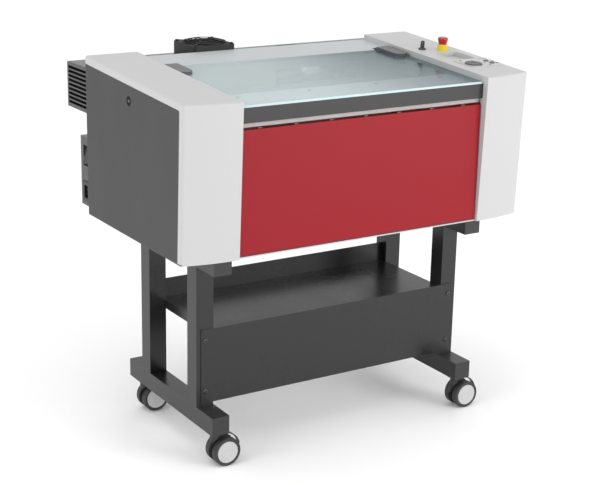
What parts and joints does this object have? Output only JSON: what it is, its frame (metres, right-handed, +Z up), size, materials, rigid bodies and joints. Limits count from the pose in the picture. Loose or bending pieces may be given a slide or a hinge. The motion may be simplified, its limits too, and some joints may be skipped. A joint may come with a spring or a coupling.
{
  "type": "laser cutter",
  "caption": "Enclosed laser cutter with a hinged glass lid and drop-down front door, on a wheeled open stand.",
  "frame": {"origin": "middle of the machine's plan, on the floor", "axes": "+Z up, +X to the operator's right, +Y from the front to the back"},
  "size_m": [0.967, 0.7078, 0.9543],
  "materials": {
    "left_cover_white": "satin powder coat, white",
    "deck_grey": "satin powder coat, pale grey",
    "housing_grey": "satin powder coat, grey",
    "panel_dark": "fine-textured powder coat, dark grey",
    "band_dark": "satin, dark grey",
    "pan_grey": "powder coat",
    "door_red": "satin powder coat, red",
    "stand_dark": "textured powder coat, dark grey",
    "cap_black": "moulded, black",
    "bolt_steel": "zinc plated",
    "hinge_dark": "satin, dark grey",
    "lid_tint": "tinted, clear",
    "strip_diffuser": "frosted",
    "caster_black": "moulded nylon, black",
    "caster_tyre": "soft tread, black",
    "strut_tube_black": "gloss black",
    "strut_rod_chrome": "polished",
    "tube_glass": "clear",
    "fan_black": "moulded, black",
    "spigot_steel": "spun",
    "keypad_grey": "satin",
    "button_grey": "soft-touch",
    "key_steel": "plated",
    "stop_yellow": "moulded",
    "stop_red": "moulded",
    "table_alu": "anodised",
    "rail_steel": "ground",
    "supply_box": "boxed unit",
    "board_green": "circuit board"
  },
  "bodies": {
    "machine": {"right_stand_frame": "stand_dark", "left_stand_frame": "stand_dark", "tube_end_caps": "cap_black", "stand_front_panel": "stand_dark", "stand_bolts": "bolt_steel", "stand_shelf": "stand_dark", "caster_plates": "bolt_steel", "right_pod_cover": "left_cover_white", "left_pod_cover": "left_cover_white", "right_side_panel": "panel_dark", "left_side_panel": "panel_dark", "base_pan": "pan_grey", "front_band": "band_dark", "light_strip": "strip_diffuser", "door_hinge_pins": "bolt_steel", "laser_housing": "housing_grey", "laser_tube": "tube_glass", "exhaust_spigot": "spigot_steel", "connector_box": "housing_grey", "mains_inlet": "fan_black", "table_guide_posts": "rail_steel", "gantry_rails": "rail_steel", "power_supply": "supply_box", "control_board": "board_green", "lid_hinge_brackets": "hinge_dark", "front_deck": "deck_grey", "deck_screws": "bolt_steel", "rear_deck": "deck_grey", "keypad_plate": "keypad_grey", "key_switch_base": "key_steel", "estop_base": "stop_yellow", "fan_frame": "fan_black", "fan_guard": "fan_black"},
    "lid": {"lid_glass": "lid_tint", "lid_hinge_arms": "hinge_dark", "strut_lid_bracket": "hinge_dark"},
    "door": {"front_door": "door_red"},
    "strut_tube": {"strut_cylinder": "strut_tube_black"},
    "strut_slider": {"strut_rod": "strut_rod_chrome"},
    "gantry": {"gantry_beam": "table_alu"},
    "head": {"laser_head": "table_alu"},
    "table": {"work_table": "table_alu"},
    "screw": {"table_lead_screw": "rail_steel"},
    "shaft": {"drive_shaft": "rail_steel"},
    "stop_cap": {"estop_button": "stop_red"},
    "turned_key": {"key": "key_steel"},
    "jog": {"jog_pad": "button_grey"},
    "start": {"start_button": "button_grey"},
    "pause": {"pause_button": "button_grey"},
    "latch": {"side_latch": "key_steel"},
    "rocker": {"power_switch": "fan_black"},
    "fan": {"fan_rotor": "fan_black"},
    "fork_front_left": {"caster_fork_front_left": "caster_black"},
    "wheels_front_left": {"caster_wheels_front_left": "caster_tyre"},
    "fork_front_right": {"caster_fork_front_right": "caster_black"},
    "wheels_front_right": {"caster_wheels_front_right": "caster_tyre"},
    "fork_rear_left": {"caster_fork_rear_left": "caster_black"},
    "wheels_rear_left": {"caster_wheels_rear_left": "caster_tyre"},
    "fork_rear_right": {"caster_fork_rear_right": "caster_black"},
    "wheels_rear_right": {"caster_wheels_rear_right": "caster_tyre"}
  },
  "joints": [
    {"name": "lid_hinge", "type": "hinge", "parent": "machine", "child": "lid", "pos_m": [0, 0.06017, 0.91076], "axis": [-1, 0, 0], "range_deg": [0, 80]},
    {"name": "door_hinge", "type": "hinge", "parent": "machine", "child": "door", "pos_m": [0, -0.3295, 0.5435], "axis": [1, 0, 0], "range_deg": [0, 90]},
    {"name": "strut_swing", "type": "hinge", "parent": "machine", "child": "strut_tube", "pos_m": [0.331, 0.034, 0.724], "axis": [-1, 0, 0], "range_deg": [0, 38.81]},
    {"name": "strut_stroke", "type": "slide", "parent": "strut_tube", "child": "strut_slider", "axis": [0, -0.6904, 0.7235], "range_m": [0, 0.13825]},
    {"name": "gantry_slide", "type": "slide", "parent": "machine", "child": "gantry", "axis": [0, 1, 0], "range_m": [-0.3, 0]},
    {"name": "head_slide", "type": "slide", "parent": "gantry", "child": "head", "axis": [1, 0, 0], "range_m": [0, 0.5]},
    {"name": "table_lift", "type": "slide", "parent": "machine", "child": "table", "axis": [0, 0, 1], "range_m": [0, 0.12]},
    {"name": "screw_turn", "type": "hinge", "parent": "machine", "child": "screw", "pos_m": [0, 0.132, 0.537], "axis": [0, 0, 1], "range_deg": [0, 5401]},
    {"name": "shaft_turn", "type": "hinge", "parent": "machine", "child": "shaft", "pos_m": [0, 0.154, 0.78], "axis": [1, 0, 0], "range_deg": [-2150, 0]},
    {"name": "stop_press", "type": "slide", "parent": "machine", "child": "stop_cap", "axis": [0, 0.0658, -0.9978], "range_m": [0, 0.0037], "stiffness_N_per_m": 400, "springref_m": -0.003},
    {"name": "key_turn", "type": "hinge", "parent": "machine", "child": "turned_key", "pos_m": [0.382, -0.03394, 0.92459], "axis": [0, -0.0658, 0.9978], "range_deg": [0, 90]},
    {"name": "jog_press", "type": "slide", "parent": "machine", "child": "jog", "axis": [0, 0.0658, -0.9978], "range_m": [0, 0.0012], "stiffness_N_per_m": 300, "springref_m": -0.001},
    {"name": "start_press", "type": "slide", "parent": "machine", "child": "start", "axis": [0, 0.0658, -0.9978], "range_m": [0, 0.0012], "stiffness_N_per_m": 300, "springref_m": -0.001},
    {"name": "pause_press", "type": "slide", "parent": "machine", "child": "pause", "axis": [0, 0.0658, -0.9978], "range_m": [0, 0.0012], "stiffness_N_per_m": 300, "springref_m": -0.001},
    {"name": "latch_turn", "type": "hinge", "parent": "machine", "child": "latch", "pos_m": [-0.4805, -0.065, 0.864], "axis": [-1, 0, 0], "range_deg": [0, 90]},
    {"name": "rocker_tip", "type": "hinge", "parent": "machine", "child": "rocker", "pos_m": [-0.45, 0.252, 0.6655], "axis": [0, -1, 0], "range_deg": [0, 24]},
    {"name": "fan_spin", "type": "hinge", "parent": "machine", "child": "fan", "pos_m": [-0.1215, 0.238, 0.92], "axis": [0, 0, 1], "continuous": true},
    {"name": "swivel_front_left", "type": "hinge", "parent": "machine", "child": "fork_front_left", "pos_m": [-0.3637, -0.264, 0.088], "axis": [0, 0, 1], "continuous": true},
    {"name": "roll_front_left", "type": "hinge", "parent": "fork_front_left", "child": "wheels_front_left", "pos_m": [-0.3407, -0.264, 0.0355], "axis": [0, 1, 0], "continuous": true},
    {"name": "swivel_front_right", "type": "hinge", "parent": "machine", "child": "fork_front_right", "pos_m": [0.3637, -0.264, 0.088], "axis": [0, 0, 1], "continuous": true},
    {"name": "roll_front_right", "type": "hinge", "parent": "fork_front_right", "child": "wheels_front_right", "pos_m": [0.3867, -0.264, 0.0355], "axis": [0, 1, 0], "continuous": true},
    {"name": "swivel_rear_left", "type": "hinge", "parent": "machine", "child": "fork_rear_left", "pos_m": [-0.3637, 0.115, 0.088], "axis": [0, 0, 1], "continuous": true},
    {"name": "roll_rear_left", "type": "hinge", "parent": "fork_rear_left", "child": "wheels_rear_left", "pos_m": [-0.3407, 0.115, 0.0355], "axis": [0, 1, 0], "continuous": true},
    {"name": "swivel_rear_right", "type": "hinge", "parent": "machine", "child": "fork_rear_right", "pos_m": [0.3637, 0.115, 0.088], "axis": [0, 0, 1], "continuous": true},
    {"name": "roll_rear_right", "type": "hinge", "parent": "fork_rear_right", "child": "wheels_rear_right", "pos_m": [0.3867, 0.115, 0.0355], "axis": [0, 1, 0], "continuous": true}
  ],
  "couplings": [
    {"joint": "strut_swing", "follows": "lid_hinge", "ratio": 0.48503},
    {"joint": "strut_stroke", "follows": "lid_hinge", "m_per_rad": 0.098941},
    {"joint": "screw_turn", "follows": "table_lift", "rad_per_m": 785.4},
    {"joint": "shaft_turn", "follows": "gantry_slide", "rad_per_m": 125}
  ]
}
